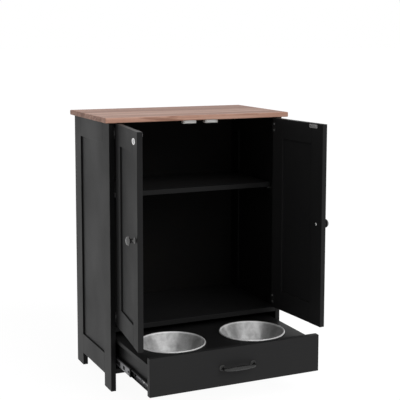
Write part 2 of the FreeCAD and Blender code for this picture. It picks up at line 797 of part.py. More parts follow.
def bowls():
    """Steel bowls with a flat foot, flared wall and rolled rim, hung in the board by the rim."""
    brim = "bowl_tall - bowl_wall"
    body = turn("bowl_turned", [
        ("0", "0"),
        ("bowl_foot_radius", "0"),
        ("bowl_top_radius", brim),
        ("rim_radius", brim),
        ("rim_radius", "bowl_tall"),
        ("bowl_top_radius - bowl_wall", "bowl_tall"),
        ("bowl_foot_radius - bowl_wall", "bowl_wall"),
        ("0", "bowl_wall"),
    ])
    soften(body, "bowl_round", ring_at("bowl_foot_radius", "0"))
    soften(body, "bowl_round - bowl_wall", ring_at("bowl_foot_radius - bowl_wall", "bowl_wall"))
    rim = doc.addObject("Part::Torus", "bowl_rim")
    bind(rim, Radius1="rim_radius", Radius2="rim_thick")
    place(rim, "0", "0", "bowl_tall - bowl_wall / 2")
    bowl = fuse("left_bowl", body, rim)
    seat(bowl, "-bowl_apart / 2", "bowl_back - drawer_out", "rim_up - bowl_tall + bowl_wall / 2")
    both_sides(bowl, "bowl")


def bow_path(bow, plane):
    """The handle's middle line: out from one foot, round a bend, along the bar, round a bend and back."""
    half = value("handle_spacing / 2")
    arm = value("handle_arm_long")
    bend = value("handle_bend")
    path = bow.newObject("Sketcher::SketchObject", "handle_path")
    path.AttachmentSupport = [(plane, "")]
    path.MapMode = "FlatFace"
    point = FreeCAD.Vector
    left_arc = Part.Circle(point(bend - half, -arm, 0), point(0, 0, 1), bend)
    right_arc = Part.Circle(point(half - bend, -arm, 0), point(0, 0, 1), bend)
    half_turn = math.pi
    quarter_turn = math.pi / 2
    path.addGeometry([
        Part.LineSegment(point(-half, 0, 0), point(-half, -arm, 0)),
        Part.ArcOfCircle(left_arc, half_turn, half_turn + quarter_turn),
        Part.LineSegment(point(bend - half, -arm - bend, 0), point(half - bend, -arm - bend, 0)),
        Part.ArcOfCircle(right_arc, half_turn + quarter_turn, 2 * half_turn),
        Part.LineSegment(point(half, -arm, 0), point(half, 0, 0)),
    ], False)
    for one, end, other, begin in ((0, 2, 1, 1), (1, 2, 2, 1), (2, 2, 3, 1), (3, 2, 4, 1)):
        path.addConstraint(Sketcher.Constraint("Tangent", one, end, other, begin))
    path.addConstraint([
        Sketcher.Constraint("PointOnObject", 0, 1, -1),
        Sketcher.Constraint("PointOnObject", 4, 2, -1),
        Sketcher.Constraint("Vertical", 0),
        Sketcher.Constraint("Vertical", 4),
        Sketcher.Constraint("Equal", 1, 3),
    ])
    for text, constraint in (
        ("handle_spacing / 2", Sketcher.Constraint("DistanceX", 0, 1, -1, 1, half)),
        ("handle_spacing / 2", Sketcher.Constraint("DistanceX", -1, 1, 4, 2, half)),
        ("handle_arm_long", Sketcher.Constraint("DistanceY", 0, 2, 0, 1, arm)),
        ("handle_arm_long", Sketcher.Constraint("DistanceY", 4, 1, 4, 2, arm)),
        ("handle_bend", Sketcher.Constraint("Radius", 1, bend)),
    ):
        path.setExpression(f"Constraints[{path.addConstraint(constraint)}]", bound(text))
    doc.recompute()
    return path


def handle():
    """A bow handle: two round feet, two arms that bend inwards, and a bar that swells in the middle."""
    face = "case_front - drawer_out"
    bow = doc.addObject("PartDesign::Body", "handle_bow")
    pipe = bow.newObject("PartDesign::AdditivePipe", "handle_pipe")
    ring = bow.newObject("Sketcher::SketchObject", "handle_ring")
    flat, upright = (
        next(feature for feature in bow.Origin.OriginFeatures if feature.Role == role)
        for role in ("XY_Plane", "XZ_Plane"))
    ring.AttachmentSupport = [(upright, "")]
    ring.MapMode = "FlatFace"
    start = FreeCAD.Vector(-value("handle_spacing / 2"), 0, 0)
    ring.addGeometry(Part.Circle(start, FreeCAD.Vector(0, 0, 1), value("handle_bar_radius")), False)
    ring.addConstraint(Sketcher.Constraint("PointOnObject", 0, 3, -1))
    ring.addConstraint(Sketcher.Constraint("DistanceX", 0, 3, -1, 1, -start.x))
    ring.addConstraint(Sketcher.Constraint("Radius", 0, value("handle_bar_radius")))
    ring.setExpression("Constraints[1]", bound("handle_spacing / 2"))
    ring.setExpression("Constraints[2]", bound("handle_bar_radius"))
    pipe.Profile = ring
    pipe.Spine = (bow_path(bow, flat), [])
    bow.Tip = pipe
    doc.recompute()
    place(bow, "0", face, "handle_up")
    belly = turn("handle_belly_blank", [
        ("0", "-handle_straight_half"),
        ("handle_bar_radius * handle_tuck_share", "-handle_straight_half"),
        ("handle_belly", "-handle_belly_flat / 2"),
        ("handle_belly", "handle_belly_flat / 2"),
        ("handle_bar_radius * handle_tuck_share", "handle_straight_half"),
        ("0", "handle_straight_half"),
    ])
    pieces = [bow, laid(
        "handle_belly", belly, "0", face + " - handle_arm_long - handle_bend", "handle_up", ACROSS)]
    for side, across in (("left", "-1"), ("right", "1")):
        pieces.append(rod(
            side + "_handle_foot", f"{across} * handle_spacing / 2", face, "handle_up",
            "handle_foot_radius", "handle_foot_thick", -BACK))
    whole = fuse("handle_solid", *pieces)
    bores = []
    screws = []
    for index, across in enumerate(("-1", "1")):
        middle = f"{across} * handle_spacing / 2"
        bores.append(rod(
            f"handle_thread_{index}", middle, f"{face} + overrun", "handle_up",
            "handle_screw_radius", "handle_arm_long + overrun", -BACK))
        start = f"{face} + drawer_front_thick"
        head = rod(f"handle_screw_head_{index}", middle, start, "handle_up",
                   "handle_screw_head_radius", "handle_screw_head_thick", BACK)
        shank = rod(f"handle_screw_shank_{index}", middle, start, "handle_up",
                    "handle_screw_radius", "drawer_front_thick + handle_thread_long", -BACK)
        screws.append(fuse(f"handle_screw_{index}", head, shank))
    keep(cut("drawer_handle", whole, *bores), "drawer_handle")
    keep(group("handle_screws", *screws), "handle_screws")


top()
side_frames()
tied_board("cupboard_floor", "deck_up")
tied_board("base_board", "base_up")
shelf()
back_panel()
knock_down_fittings()
foot_glides()
doors()
catches()
hinges()
slides()
drawer()
bowls()
handle()
doc.recompute()

failed = [item.Name for item in doc.Objects if "Invalid" in item.State or "Error" in item.State]
if failed:
    raise RuntimeError("failed objects: " + ", ".join(failed))
for piece in nodes:
    if piece.Shape.isNull() or not piece.Shape.isValid():
        raise RuntimeError("bad shape: " + piece.Label)
os.makedirs("parts", exist_ok=True)
for piece in nodes:
    piece.Shape.exportStep(f"parts/{piece.Label}.step")
whole = Part.makeCompound([piece.Shape for piece in nodes]).BoundBox
print(len(nodes), "nodes", [round(edge, 2) for edge in (
    whole.XMin, whole.XMax, whole.YMin, whole.YMax, whole.ZMin, whole.ZMax)])
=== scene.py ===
import json
import math

import bmesh
import bpy
from mathutils import Matrix, Vector


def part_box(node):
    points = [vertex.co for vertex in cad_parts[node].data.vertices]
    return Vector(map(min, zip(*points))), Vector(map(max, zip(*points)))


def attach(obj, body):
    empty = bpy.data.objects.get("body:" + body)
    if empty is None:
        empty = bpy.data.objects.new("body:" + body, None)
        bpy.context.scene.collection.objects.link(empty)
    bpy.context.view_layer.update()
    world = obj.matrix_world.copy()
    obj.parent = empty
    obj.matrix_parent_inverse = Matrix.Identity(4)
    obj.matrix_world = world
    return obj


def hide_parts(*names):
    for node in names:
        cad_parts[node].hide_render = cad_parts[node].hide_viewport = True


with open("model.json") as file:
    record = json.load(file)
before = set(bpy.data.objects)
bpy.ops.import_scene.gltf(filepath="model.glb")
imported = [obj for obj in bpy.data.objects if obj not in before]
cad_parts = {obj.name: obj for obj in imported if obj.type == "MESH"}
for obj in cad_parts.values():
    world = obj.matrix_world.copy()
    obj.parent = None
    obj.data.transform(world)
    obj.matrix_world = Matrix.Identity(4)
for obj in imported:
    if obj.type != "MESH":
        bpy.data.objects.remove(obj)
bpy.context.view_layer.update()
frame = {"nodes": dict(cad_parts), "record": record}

MM = 0.001
TURN = 2 * math.pi
RIGHT, FRONT, BACK, DOWN = (1, 0, 0), (0, -1, 0), (0, 1, 0), (0, 0, -1)

scene = bpy.context.scene
NODES = frame["nodes"]
JOINTS = {joint["name"]: joint for joint in frame["record"]["behaviour"]["joints"]}


# Camera

FRAME_PIXELS = 400
FOCAL_PIXELS = 992.5
SENSOR = 36.0
SHIFT_ACROSS, SHIFT_UP = -0.05, -0.125
NEAREST, FARTHEST = 0.05, 200
YAW, PITCH, ROLL = 0.4448, 0.1165, 0.0037
CAMERA_PLACE = (-1.20337, -2.68631, 1.04562)


def make_camera():
    """The camera that was fitted to the photograph's corners; its angles are in radians."""
    data = bpy.data.cameras.new("camera")
    data.sensor_width = SENSOR
    data.lens = FOCAL_PIXELS * SENSOR / FRAME_PIXELS
    data.shift_x = SHIFT_ACROSS
    data.shift_y = SHIFT_UP
    data.clip_start = NEAREST
    data.clip_end = FARTHEST
    turned = (
        Matrix.Rotation(-YAW, 4, "Z")
        @ Matrix.Rotation(math.pi / 2 - PITCH, 4, "X")
        @ Matrix.Rotation(ROLL, 4, "Z")
    )
    camera = bpy.data.objects.new("camera", data)
    camera.matrix_world = Matrix.Translation(CAMERA_PLACE) @ turned
    scene.collection.objects.link(camera)
    scene.camera = camera


# Shaders

class Shader:
    """A material's nodes, made one by one; a socket given as a value is linked."""

    def __init__(self, name, tree=None):
        if tree is None:
            self.material = bpy.data.materials.new(name)
            self.material.use_nodes = True
            tree = self.material.node_tree
        self.tree = tree
        self.tree.nodes.clear()

    def node(self, kind, inputs=None, **settings):
        made = self.tree.nodes.new("ShaderNode" + kind)
        for key, value in settings.items():
            setattr(made, key, value)
        for key, value in (inputs or {}).items():
            if isinstance(value, bpy.types.NodeSocket):
                self.tree.links.new(value, made.inputs[key])
            else:
                made.inputs[key].default_value = value
        return made

    def math(self, operation, *values):
        return self.node("Math", dict(enumerate(values)), operation=operation).outputs[0]

    def place(self):
        """Where a point is on the object, in metres."""
        return self.node("TexCoord").outputs["Object"]

    def stretched(self, vector, scale):
        return self.node("Mapping", {"Vector": vector, "Scale": scale}).outputs[0]

    def noise(self, vector, scale, detail=4.0, rough=0.5, bend=0.0):
        return self.node(
            "TexNoise",
            {"Vector": vector, "Scale": scale, "Detail": detail, "Roughness": rough, "Distortion": bend},
        ).outputs[0]

    def span(self, value, low, high, to_low=0.0, to_high=1.0):
        return self.node("MapRange", {0: value, 1: low, 2: high, 3: to_low, 4: to_high}).outputs[0]

    def mix(self, share, first, second, blend="MIX"):
        return self.node(
            "Mix", {0: share, 6: first, 7: second}, data_type="RGBA", blend_type=blend
        ).outputs[2]

    def ramp(self, value, stops):
        made = self.node("ValToRGB", {0: value})
        cells = made.color_ramp.elements
        while len(cells) < len(stops):
            cells.new(0.5)
        for cell, (at, tone) in zip(cells, stops):
            cell.position = at
            cell.color = (*tone, 1.0)
        return made.outputs[0]

    def edges(self, radius, low=0.02, high=0.35):
        """1 at a sharp edge of the surface and 0 on its flats."""
        rounded = self.node("Bevel", {"Radius": radius}, samples=6).outputs[0]
        flat = self.node("NewGeometry").outputs["Normal"]
        agree = self.node("VectorMath", {0: rounded, 1: flat}, operation="DOT_PRODUCT").outputs["Value"]
        return self.span(self.math("SUBTRACT", 1.0, agree), low, high)

    def bump(self, height, deep, strength=1.0):
        return self.node("Bump", {"Height": height, "Distance": deep, "Strength": strength}).outputs[0]

    def surface(self, **inputs):
        """Ends the material in one Principled shader."""
        named = {key.replace("_", " "): value for key, value in inputs.items()}
        shader = self.node("BsdfPrincipled", named).outputs[0]
        self.node("OutputMaterial", {"Surface": shader})
        return self.material


def grey(tone):
    """A grey as a socket takes it."""
    return (tone, tone, tone, 1.0)


def tinted(colour, share=1.0):
    """A colour times a share, never over white, as a socket takes it."""
    return (*[min(1.0, share * channel) for channel in colour], 1.0)


def dark_paint(name, grain, tone, sheen=0.10):
    """Satin black film on board: a fine lengthwise emboss, a slow drift of tone, and rubbed edges."""
    s = Shader(name)
    at = s.place()
    fibres = s.noise(s.stretched(at, grain), 1.0, 5, 0.6)
    skin = s.noise(at, 900, 3, 0.6)
    drift = s.noise(at, 5.5, 3)
    wear = s.math("MULTIPLY", s.edges(0.0011), s.span(s.noise(at, 60, 5, 0.65), 0.35, 0.65, 0.25, 1.0))
    base = s.mix(drift, tinted((tone, tone, 1.05 * tone), 0.82), grey(1.2 * tone))
    base = s.mix(s.span(fibres, 0.4, 0.8, 0.0, 0.35), base, grey(0.6 * tone))
    base = s.mix(s.math("MULTIPLY", wear, 0.5), base, grey(0.045))
    rough = s.math("ADD", s.span(drift, 0.3, 0.7, 0.40, 0.50), s.span(skin, 0.3, 0.7, -0.03, 0.03))
    rough = s.math("SUBTRACT", rough, s.math("MULTIPLY", wear, 0.08))
    relief = s.math("ADD", s.math("MULTIPLY", fibres, 0.7), s.math("MULTIPLY", skin, 0.5))
    return s.surface(
        Base_Color=base, Roughness=rough, Specular_IOR_Level=sheen, Normal=s.bump(relief, 0.00005, 0.6)
    )


def back_fibreboard():
    """Matt fibreboard, mottled with pressed fibres."""
    s = Shader("back_fibreboard")
    at = s.place()
    flecks = s.noise(at, 420, 6, 0.7, 0.6)
    clouds = s.noise(at, 14, 4)
    base = s.mix(s.span(flecks, 0.35, 0.7), grey(0.003), grey(0.008))
    base = s.mix(s.span(clouds, 0.35, 0.7, 0.0, 0.4), base, (0.008, 0.007, 0.006, 1))
    base = s.mix(s.math("MULTIPLY", s.edges(0.001), 0.4), base, grey(0.03))
    return s.surface(
        Base_Color=base, Roughness=s.span(flecks, 0.3, 0.7, 0.62, 0.8),
        Specular_IOR_Level=0.08, Normal=s.bump(flecks, 0.00012, 0.7),
    )


def walnut():
    """Rosy-brown walnut film, darker to the right: broad bands, dark lines, fibres and open pores."""
    dark_line = (0.185, 0.080, 0.048, 1)
    pale_fibre = (0.56, 0.355, 0.28, 1)
    open_pore = (0.15, 0.075, 0.05, 1)
    worn_edge = (0.60, 0.40, 0.32, 1)
    s = Shader("walnut")
    at = s.place()
    sway = s.noise(s.stretched(at, (2.4, 8, 8)), 1.0, 2)
    shift = s.node("CombineXYZ", {1: s.span(sway, 0.3, 0.7, -0.016, 0.016)}).outputs[0]
    swayed = s.node("VectorMath", {0: at, 1: shift}, operation="ADD").outputs[0]
    bands = s.noise(s.stretched(swayed, (0.8, 19, 19)), 1.0, 3, 0.5)
    lines = s.noise(s.stretched(swayed, (2.2, 95, 95)), 1.0, 4, 0.6)
    fibres = s.noise(s.stretched(at, (12, 800, 800)), 1.0, 4, 0.65)
    pores = s.noise(s.stretched(at, (60, 1500, 1500)), 1.0, 2, 0.5)
    base = s.ramp(bands, [
        (0.34, (0.230, 0.103, 0.064)),
        (0.45, (0.375, 0.190, 0.133)),
        (0.53, (0.470, 0.259, 0.190)),
        (0.66, (0.600, 0.377, 0.295)),
    ])
    base = s.mix(s.span(lines, 0.46, 0.60, 0.0, 0.72), base, dark_line)
    along = s.node("SeparateXYZ", {0: at}).outputs[0]
    base = s.mix(s.span(along, -0.25, 0.25, 0.0, 0.36), base, dark_line)
    base = s.mix(s.span(fibres, 0.35, 0.7, 0.0, 0.22), base, pale_fibre)
    pits = s.span(pores, 0.60, 0.72)
    base = s.mix(s.math("MULTIPLY", pits, 0.4), base, open_pore)
    wear = s.math("MULTIPLY", s.edges(0.0015), s.span(s.noise(at, 45, 4), 0.35, 0.7))
    base = s.mix(s.math("MULTIPLY", wear, 0.35), base, worn_edge)
    relief = s.math("SUBTRACT", s.math("MULTIPLY", fibres, 0.6), pits)
    return s.surface(
        Base_Color=base, Roughness=s.span(fibres, 0.3, 0.7, 0.38, 0.52),
        Specular_IOR_Level=0.12, Normal=s.bump(relief, 0.00008, 0.6),
    )


def metal(name, tone, low, high, stretch, dirt=0.15, metallic=1.0):
    """Metal with fine drawn lines, of roughness from low to high; stretch gives the lines' direction."""
    s = Shader(name)
    at = s.place()
    lines = s.noise(s.stretched(at, stretch), 1.0, 5, 0.6)
    marks = s.noise(at, 70, 4, 0.6)
    dull = s.span(marks, 0.45, 0.75, 0.0, dirt)
    base = s.mix(s.span(lines, 0.3, 0.7, 0.0, 0.3), tinted(tone), tinted(tone, 0.8))
    base = s.mix(dull, base, tinted(tone, 0.45))
    base = s.mix(s.math("MULTIPLY", s.edges(0.0006), 0.3), base, tinted(tone, 1.35))
    rough = s.math("ADD", s.span(lines, 0.3, 0.7, low, high), dull)
    return s.surface(
        Base_Color=base, Roughness=rough, Metallic=metallic, Normal=s.bump(lines, 0.00003, 0.5)
    )


def spun_steel(name, bright, dark, metallic):
    """Satin steel, with rings left by turning round its own upright axis, soft smears and a slight ripple."""
    s = Shader(name)
    at = s.place()
    parts = s.node("SeparateXYZ", {0: at}).outputs
    out = s.math("SQRT", s.math("ADD", s.math("POWER", parts[0], 2.0), s.math("POWER", parts[1], 2.0)))
    ring = s.node("CombineXYZ", {0: out, 1: parts[2]}).outputs[0]
    rings = s.noise(ring, 1500, 4, 0.65)
    smears = s.noise(at, 26, 4, 0.6)
    ripple = s.noise(at, 48, 2, 0.5)
    base = s.mix(s.span(smears, 0.38, 0.62), grey(bright), grey(dark))
    base = s.mix(s.span(rings, 0.3, 0.7, 0.0, 0.2), base, grey(0.7 * dark))
    rough = s.math("ADD", s.span(rings, 0.3, 0.7, 0.28, 0.36), s.span(smears, 0.4, 0.8, 0.0, 0.10))
    relief = s.math("ADD", s.math("MULTIPLY", ripple, 40.0), rings)
    return s.surface(
        Base_Color=base, Roughness=rough, Metallic=metallic, Normal=s.bump(relief, 0.00003, 0.8)
    )


def gunmetal(name, tone, metallic, sheen=0.5):
    """Satin blackened metal, a little lighter where it rubs."""
    s = Shader(name)
    at = s.place()
    skin = s.noise(at, 1300, 3, 0.6)
    drift = s.noise(at, 90, 3)
    wear = s.math("MULTIPLY", s.edges(0.0008, 0.01, 0.3), s.span(drift, 0.3, 0.7, 0.3, 1.0))
    base = s.mix(drift, grey(0.8 * tone), grey(1.25 * tone))
    base = s.mix(s.math("MULTIPLY", wear, 0.5), base, grey(2.8 * tone))
    rough = s.math("ADD", s.span(drift, 0.3, 0.7, 0.22, 0.32), s.span(skin, 0.3, 0.7, -0.03, 0.05))
    return s.surface(
        Base_Color=base, Roughness=rough, Metallic=metallic, Specular_IOR_Level=sheen,
        Normal=s.bump(skin, 0.00003, 0.5),
    )


def plastic(name, tone, rough_low, rough_high, sheen=0.45):
    """Moulded plastic with a spark-eroded skin."""
    s = Shader(name)
    at = s.place()
    skin = s.noise(at, 1800, 3, 0.6)
    drift = s.noise(at, 40, 3)
    base = s.mix(drift, tinted(tone, 0.92), tinted(tone, 1.06))
    base = s.mix(s.math("MULTIPLY", s.edges(0.0008), 0.25), base, tinted(tone, 1.4))
    return s.surface(
        Base_Color=base, Roughness=s.span(skin, 0.3, 0.7, rough_low, rough_high),
        Specular_IOR_Level=sheen, Normal=s.bump(skin, 0.00004, 0.6),
    )


ACROSS_GRAIN = (7, 420, 420)
DEEP_GRAIN = (420, 7, 420)
UPRIGHT_GRAIN = (420, 420, 7)
# One black paint in several tones: lighter copies for the doors and the drawer front, painted light, and a
# darker copy for the sides and legs, painted shade; the doors' copy also has less sheen.
SIDE_TONE_PAINTED_SHADE = 0.0075
DOOR_TONE_PAINTED_LIGHT = 0.0185
DOOR_SHEEN = 0.045
FRONT_TONE_PAINTED_LIGHT = 0.018
BOARD_TONE = 0.0095

painted_shade_side_paint_up = dark_paint("side_paint_upright", UPRIGHT_GRAIN, SIDE_TONE_PAINTED_SHADE)
painted_shade_side_paint_deep = dark_paint("painted_shade_side_paint_deep", DEEP_GRAIN, SIDE_TONE_PAINTED_SHADE)
painted_light_door_paint_up = dark_paint("door_paint_upright", UPRIGHT_GRAIN, DOOR_TONE_PAINTED_LIGHT, DOOR_SHEEN)
painted_light_door_paint_along = dark_paint("painted_light_door_paint_along", DEEP_GRAIN, DOOR_TONE_PAINTED_LIGHT, DOOR_SHEEN)
painted_light_front_paint = dark_paint("painted_light_front_paint", ACROSS_GRAIN, FRONT_TONE_PAINTED_LIGHT)
board_paint = dark_paint("board_paint", ACROSS_GRAIN, BOARD_TONE)
drawer_side_paint = dark_paint("drawer_side_paint", DEEP_GRAIN, BOARD_TONE)
fibreboard = back_fibreboard()
walnut_film = walnut()
bowl_steel = spun_steel("bowl_steel", bright=0.66, dark=0.40, metallic=0.6)
# The rolled rim in a paler, less metallic copy of the bowl steel, painted highlight.
rim_steel_painted_highlight = spun_steel("rim_steel_painted_highlight", bright=0.90, dark=0.78, metallic=0.35)
# The slide's zinc toned down to its shaded look, painted shade; its lips in a near black copy, painted shade
# along the races.
slide_zinc_painted_shade = metal("slide_zinc_painted_shade", (0.17, 0.17, 0.18), low=0.26, high=0.42, stretch=(1200, 9, 1200))
lip_steel_painted_shade = metal("lip_steel_painted_shade", (0.050, 0.050, 0.052), low=0.30, high=0.45, stretch=(1200, 9, 1200))
nickel = metal("nickel", (0.66, 0.66, 0.65), low=0.2, high=0.34, stretch=(1100, 1100, 12))
# The strike plate's bright steel toned down to its shaded look, painted shade.
strike_steel_painted_shade = metal("strike_steel_painted_shade", (0.40, 0.40, 0.40), low=0.4, high=0.55, stretch=(1400, 1400, 14),
                     dirt=0.05, metallic=0.35)
badge_bright = metal("badge_bright", (0.90, 0.90, 0.90), low=0.16, high=0.28, stretch=(1400, 14, 1400),
                     dirt=0.05)
badge_brushed = metal("badge_brushed", (0.40, 0.40, 0.41), low=0.28, high=0.42, stretch=(14, 1400, 1400),
                      dirt=0.05)
# One black nickel in two tones: a darker copy for the handle, painted shade, and a lighter one for the knobs,
# painted light.
handle_nickel_painted_shade = gunmetal("handle_nickel_painted_shade", tone=0.042, metallic=0.85)
knob_nickel_painted_light = gunmetal("knob_nickel_painted_light", tone=0.110, metallic=0.85)
# One hinge metal in two tones: near black for the case leaves and pins, painted shade, and grey for the door
# leaves, painted light; the grey also makes the strike plate's darker body, painted shade.
hinge_black_painted_shade = gunmetal("hinge_black_painted_shade", tone=0.009, metallic=0.05, sheen=0.1)
grey_painted_light_and_shade = gunmetal("grey_painted_light_and_shade", tone=0.034, metallic=0.3, sheen=0.2)
# A darker copy of the screws' steel for the hinge leaf screws, painted shade.
leaf_screw_steel_painted_shade = metal("leaf_screw_steel_painted_shade", (0.17, 0.17, 0.17), low=0.3, high=0.45, stretch=(900, 900, 12))
white_moulded = plastic("white_moulded", (0.95, 0.95, 0.92), rough_low=0.42, rough_high=0.55)
glide_moulded = plastic("glide_moulded", (0.03, 0.03, 0.03), rough_low=0.5, rough_high=0.65)
black_moulded = plastic("black_moulded", (0.005, 0.005, 0.005), rough_low=0.45, rough_high=0.6, sheen=0.08)


def dress(material, *names):
    """Gives solids of the frame a material."""
    for name in names:
        node = NODES[name]
        if not node.material_slots:
            node.data.materials.append(material)
        for place in node.material_slots:
            place.material = material


def both(*names):
    """The left and the right node of each name."""
    return [side + name for name in names for side in ("left_", "right_")]


# Shapes: each is a list of points and a list of faces

SAME_PLACE = 1e-7
CORNER_ROOM = 2.01


def around(steps):
    """The angles of a ring of points."""
    return [TURN * k / steps for k in range(steps)]


def lathe(profile, steps=96):
    """A form turned about its local Z from (radius, height) points."""
    points, faces, rows = [], [], []
    for radius, height in profile:
        if radius < SAME_PLACE:
            rows.append([len(points)])
            points.append((0, 0, height))
            continue
        rows.append(list(range(len(points), len(points) + steps)))
        points += [(radius * math.cos(angle), radius * math.sin(angle), height) for angle in around(steps)]
    for low, high in zip(rows, rows[1:]):
        for i in range(steps):
            j = (i + 1) % steps
            if len(low) == 1 and len(high) == 1:
                break
            if len(low) == 1:
                faces.append((low[0], high[j], high[i]))
            elif len(high) == 1:
                faces.append((low[i], low[j], high[0]))
            else:
                faces.append((low[i], low[j], high[j], high[i]))
    return points, faces


def arc(centre, radius, start, end, steps):
    """Points of an arc in the plane of a profile, angles in degrees."""
    x, y = centre
    made = []
    for i in range(steps + 1):
        angle = math.radians(start + (end - start) * i / steps)
        made.append((x + radius * math.cos(angle), y + radius * math.sin(angle)))
    return made


def block(left, right, low, high):
    """The outline of an upright rectangle."""
    return [(left, low), (right, low), (right, high), (left, high)]


def rounded(outline, radius, steps=4):
    """A closed outline with each corner cut to an arc of about that radius."""
    made = []
    count = len(outline)
    for i in range(count):
        before, here, after = (Vector(outline[(i + k) % count]) for k in (-1, 0, 1))
        shorter = min((before - here).length, (after - here).length)
        reach = min(radius, shorter / CORNER_ROOM)
        a = here + (before - here).normalized() * reach
        b = here + (after - here).normalized() * reach
        for k in range(steps + 1):
            t = k / steps
            made.append(tuple(a * (1 - t) ** 2 + here * 2 * t * (1 - t) + b * t ** 2))
    return made


def prism(outline, low, high):
    """A closed outline of (x, y) points carried from z = low to z = high."""
    count = len(outline)
    points = [(x, y, z) for z in (low, high) for x, y in outline]
    faces = [tuple(range(count))[::-1], tuple(range(count, 2 * count))]
    faces += [(i, (i + 1) % count, count + (i + 1) % count, count + i) for i in range(count)]
    return points, faces


def moved(shape, matrix):
    """A shape turned, scaled and put in its place."""
    points, faces = shape
    return [tuple(matrix @ Vector(point)) for point in points], faces


def ribbon(line, thick):
    """The closed outline of a strip of even thickness along an open line of (x, y) points."""
    first, second = [], []
    for i, here in enumerate(line):
        before = Vector(line[max(i - 1, 0)])
        after = Vector(line[min(i + 1, len(line) - 1)])
        along = (after - before).normalized()
        across = Vector((along.y, -along.x)) * thick / 2
        first.append(tuple(Vector(here) + across))
        second.append(tuple(Vector(here) - across))
    return first + second[::-1]


def ring_faces(rings, steps):
    """Faces between rings of points laid one after another, with a cap on the first and the last."""
    faces = []
    for i in range(rings - 1):
        for k in range(steps):
            j = (k + 1) % steps
            faces.append((i * steps + k, i * steps + j, (i + 1) * steps + j, (i + 1) * steps + k))
    last = (rings - 1) * steps
    return faces + [tuple(range(steps))[::-1], tuple(range(last, last + steps))]


def tube(path, radii, steps=28):
    """A round bar through the points of a path, closed at both ends, with a radius at each point."""
    points = []
    for i, (here, radius) in enumerate(zip(path, radii)):
        along = Vector(path[min(i + 1, len(path) - 1)]) - Vector(path[max(i - 1, 0)])
        turn = facing(along, here)
        for angle in around(steps):
            points.append(tuple(turn @ Vector((radius * math.cos(angle), radius * math.sin(angle), 0))))
    return points, ring_faces(len(path), steps)


def oval(profile, long, short, steps=72):
    """An oval plate on z = 0 from (inset from the edge, height) points, ending in a flat middle."""
    points = [
        ((long - inset) * math.cos(angle), (short - inset) * math.sin(angle), height)
        for inset, height in profile for angle in around(steps)
    ]
    return points, ring_faces(len(profile), steps)


def joined(*shapes):
    """Several shapes as one."""
    points, faces = [], []
    for some, others in shapes:
        base = len(points)
        points += some
        faces += [tuple(base + i for i in face) for face in others]
    return points, faces


def to_mesh(name, shape):
    """The mesh of a shape, with its doubled points joined and its faces turned outwards."""
    mesh = bpy.data.meshes.new(name)
    mesh.from_pydata(shape[0], [], shape[1])
    work = bmesh.new()
    work.from_mesh(mesh)
    bmesh.ops.remove_doubles(work, verts=work.verts, dist=SAME_PLACE)
    bmesh.ops.recalc_face_normals(work, faces=work.faces)
    work.to_mesh(mesh)
    work.free()
    mesh.update()
    return mesh


def smooth_by_angle(mesh, degrees=32):
    """Smooth shading, with the edges that turn by more than so many degrees kept sharp."""
    work = bmesh.new()
    work.from_mesh(mesh)
    for face in work.faces:
        face.smooth = True
    for edge in work.edges:
        if len(edge.link_faces) == 2:
            edge.smooth = edge.calc_face_angle(0.0) < math.radians(degrees)
    work.to_mesh(mesh)
    work.free()


def piece(name, shape, material, body, at=(0, 0, 0), degrees=32, stands_for=()):
    """Makes a piece of the object from a shape or a mesh, on its body and in place of the nodes named."""
    mesh = shape if isinstance(shape, bpy.types.Mesh) else to_mesh(name, shape)
    mesh.name = name
    smooth_by_angle(mesh, degrees)
    mesh.materials.clear()
    mesh.materials.append(material)
    made = bpy.data.objects.new(name, mesh)
    made.location = at
    scene.collection.objects.link(made)
    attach(made, body)
    if stands_for:
        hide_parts(*stands_for)


def carved(shape, *tools):
    """The mesh of a shape less the tools, which are shapes too."""
    target = bpy.data.objects.new("carve_target", to_mesh("carve_target", shape))
    cutter = bpy.data.objects.new("carve_tool", to_mesh("carve_tool", joined(*tools)))
    for made in (target, cutter):
        scene.collection.objects.link(made)
    change = target.modifiers.new("carve", "BOOLEAN")
    change.object = cutter
    change.operation = "DIFFERENCE"
    change.solver = "EXACT"
    change.use_self = True
    bpy.context.view_layer.update()
    shaped = bpy.data.meshes.new_from_object(target.evaluated_get(bpy.context.evaluated_depsgraph_get()))
    for made in (target, cutter):
        spare = made.data
        bpy.data.objects.remove(made)
        bpy.data.meshes.remove(spare)
    return shaped


def shape_of(mesh):
    """A mesh as a shape again."""
    return [tuple(v.co) for v in mesh.vertices], [tuple(p.vertices) for p in mesh.polygons]


def facing(direction, at=(0, 0, 0), size=1.0):
    """A matrix that turns +Z to a direction, scales, and moves to a place."""
    turn = Vector(direction).normalized().to_track_quat("Z", "Y").to_matrix().to_4x4()
    return Matrix.Translation(at) @ turn @ Matrix.Scale(size, 4)


# Small fasteners, of radius 1 and scaled where they are set

RECESS_FLOOR_LONG_SHARE = 0.45
RECESS_FLOOR_WIDE_SHARE = 0.8
RECESS_MOUTH_SHARE = 0.9
HEAD_STEPS = 32
CAM_STEPS = 40
PAN_SHARES = [(0, -0.02), (0.96, -0.02), (1.0, 0.06), (1.0, 0.16)]
PAN_SHARES += arc((0.55, 0.16), 0.45, 0, 78, 6) + [(0.3, 0.63), (0, 0.65)]
FLUSH_SHARES = [(0, -0.2), (0.8, -0.2), (0.98, 0.02), (0.94, 0.035), (0, 0.035)]
CAM_SHARES = [(0, -0.1), (0.97, -0.1), (0.97, 0.0), (0.93, 0.02), (0.72, 0.02), (0.68, -0.01), (0, -0.01)]
HEAD_TURN = 0.7


